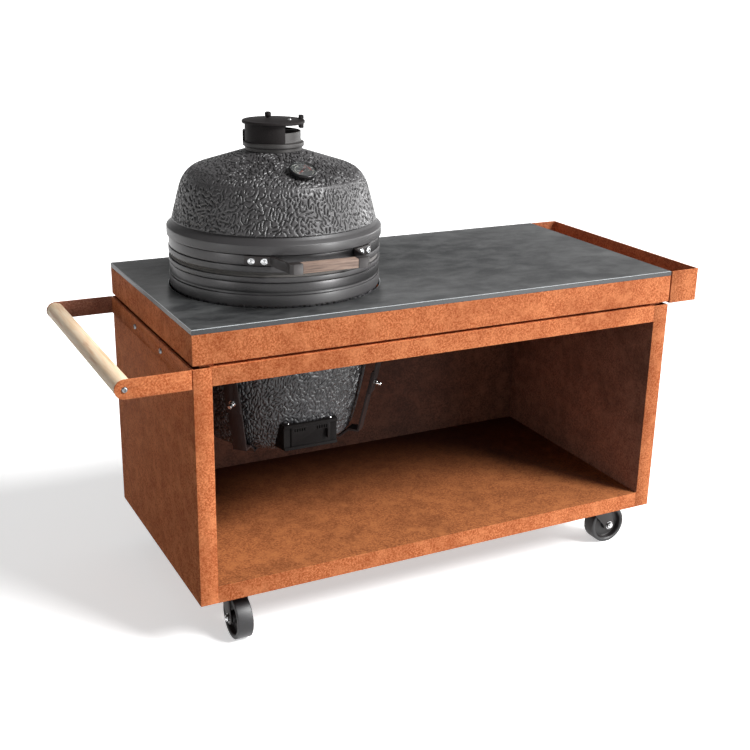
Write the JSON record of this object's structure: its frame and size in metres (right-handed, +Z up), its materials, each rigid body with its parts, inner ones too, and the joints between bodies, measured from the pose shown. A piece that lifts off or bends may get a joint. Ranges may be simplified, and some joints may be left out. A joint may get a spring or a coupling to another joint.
{
  "type": "kamado grill table",
  "caption": "Outdoor kitchen table on swivel casters: rusted steel cabinet, dark worktop with a textured ceramic kamado hung in it, hinged lid, turning flue cap, wooden push bar and trough.",
  "frame": {"origin": "on the floor, under the centre of the whole table's bounding box", "axes": "+Z up, +X from the push bar to the side trough, +Y from the open front to the back"},
  "size_m": [1.622, 0.6826, 1.2515],
  "materials": {
    "weathering_steel": "raw weathering steel with an even orange-brown rust",
    "black_steel": "satin black powder coat",
    "slab_stone": "honed anthracite composite stone",
    "bar_wood": "pale sanded hardwood",
    "grip_wood": "weathered unfinished hardwood",
    "bolt_steel": "bright stainless steel",
    "band_steel": "dark satin coated steel",
    "wheel_rubber": "black solid rubber",
    "kamado_ceramic": "dark grey glaze over a raised worm pattern",
    "gasket_felt": "grey felt",
    "fireclay": "unglazed fireclay",
    "cast_iron": "matt black cast iron",
    "dial_metal": "black coated steel",
    "dial_glass": "clear flat glass",
    "needle_paint": "red paint"
  },
  "bodies": {
    "table": {"cabinet_left_wall": "weathering_steel", "cabinet_right_wall": "weathering_steel", "cabinet_base": "weathering_steel", "cabinet_front_rail": "weathering_steel", "cabinet_back_rail": "weathering_steel", "cabinet_back_panel": "weathering_steel", "apron": "weathering_steel", "slab_carrier": "black_steel", "worktop_slab": "slab_stone", "side_tray": "weathering_steel", "handle_strap": "weathering_steel", "handle_bar": "bar_wood", "handle_end_bolt_front": "bolt_steel", "handle_end_bolt_rear": "bolt_steel", "handle_plate_bolt_front": "bolt_steel", "handle_plate_bolt_rear": "bolt_steel", "caster_front_left_plate": "black_steel", "caster_front_right_plate": "black_steel", "caster_rear_left_plate": "black_steel", "caster_rear_right_plate": "black_steel", "base_bowl": "kamado_ceramic", "base_gasket": "gasket_felt", "base_band": "band_steel", "hinge_bracket": "black_steel", "hinge_pin": "bolt_steel", "firebox": "fireclay", "charcoal_grate": "cast_iron", "fire_ring": "fireclay", "cooking_grid": "bolt_steel", "draft_housing": "black_steel", "cradle_hanger_rear_right": "black_steel", "cradle_hanger_rear_left": "black_steel", "cradle_hanger_front_left": "black_steel", "cradle_hanger_front_right": "black_steel", "cradle_foot_rear_right": "black_steel", "cradle_foot_rear_left": "black_steel", "cradle_foot_front_left": "black_steel", "cradle_foot_front_right": "black_steel"},
    "lid": {"dome": "kamado_ceramic", "lid_gasket": "gasket_felt", "lid_band": "band_steel", "hinge_arm": "black_steel", "handle_bracket_left": "black_steel", "handle_bracket_right": "black_steel", "handle_grip": "grip_wood", "thermometer_case": "dial_metal", "thermometer_glass": "dial_glass", "flue_collar": "cast_iron"},
    "flue_cap": {"flue_cap": "cast_iron"},
    "needle": {"thermometer_needle": "needle_paint"},
    "draft_door": {"draft_door": "black_steel"},
    "fork_front_left": {"caster_front_left_fork": "black_steel"},
    "fork_front_right": {"caster_front_right_fork": "black_steel"},
    "fork_rear_left": {"caster_rear_left_fork": "black_steel"},
    "fork_rear_right": {"caster_rear_right_fork": "black_steel"},
    "wheel_front_left": {"caster_front_left_wheel": "wheel_rubber"},
    "wheel_front_right": {"caster_front_right_wheel": "wheel_rubber"},
    "wheel_rear_left": {"caster_rear_left_wheel": "wheel_rubber"},
    "wheel_rear_right": {"caster_rear_right_wheel": "wheel_rubber"}
  },
  "joints": [
    {"name": "lid_hinge", "type": "hinge", "parent": "table", "child": "lid", "pos_m": [-0.2965, 0.28905, 0.915], "axis": [-1, 0, 0], "range_deg": [0, 75]},
    {"name": "flue_cap_turn", "type": "hinge", "parent": "lid", "child": "flue_cap", "pos_m": [-0.2965, 0.00075, 1.2], "axis": [0, 0, 1], "range_deg": [0, 130]},
    {"name": "thermometer_needle_turn", "type": "hinge", "parent": "lid", "child": "needle", "pos_m": [-0.2965, -0.17575, 1.12888], "axis": [0, -0.3955, 0.9184], "range_deg": [-270, 0]},
    {"name": "draft_door_slide", "type": "slide", "parent": "table", "child": "draft_door", "axis": [1, 0, 0], "range_m": [0, 0.06]},
    {"name": "swivel_front_left", "type": "hinge", "parent": "table", "child": "fork_front_left", "pos_m": [-0.519, -0.24175, 0.12], "axis": [0, 0, 1], "continuous": true},
    {"name": "swivel_front_right", "type": "hinge", "parent": "table", "child": "fork_front_right", "pos_m": [0.603, -0.24175, 0.12], "axis": [0, 0, 1], "continuous": true},
    {"name": "swivel_rear_left", "type": "hinge", "parent": "table", "child": "fork_rear_left", "pos_m": [-0.519, 0.24325, 0.12], "axis": [0, 0, 1], "continuous": true},
    {"name": "swivel_rear_right", "type": "hinge", "parent": "table", "child": "fork_rear_right", "pos_m": [0.603, 0.24325, 0.12], "axis": [0, 0, 1], "continuous": true},
    {"name": "wheel_spin_front_left", "type": "hinge", "parent": "fork_front_left", "child": "wheel_front_left", "pos_m": [-0.519, -0.27975, 0.056], "axis": [1, 0, 0], "continuous": true},
    {"name": "wheel_spin_front_right", "type": "hinge", "parent": "fork_front_right", "child": "wheel_front_right", "pos_m": [0.641, -0.24175, 0.056], "axis": [0, 1, 0], "continuous": true},
    {"name": "wheel_spin_rear_left", "type": "hinge", "parent": "fork_rear_left", "child": "wheel_rear_left", "pos_m": [-0.519, 0.28125, 0.056], "axis": [1, 0, 0], "continuous": true},
    {"name": "wheel_spin_rear_right", "type": "hinge", "parent": "fork_rear_right", "child": "wheel_rear_right", "pos_m": [0.641, 0.24325, 0.056], "axis": [0, 1, 0], "continuous": true}
  ]
}
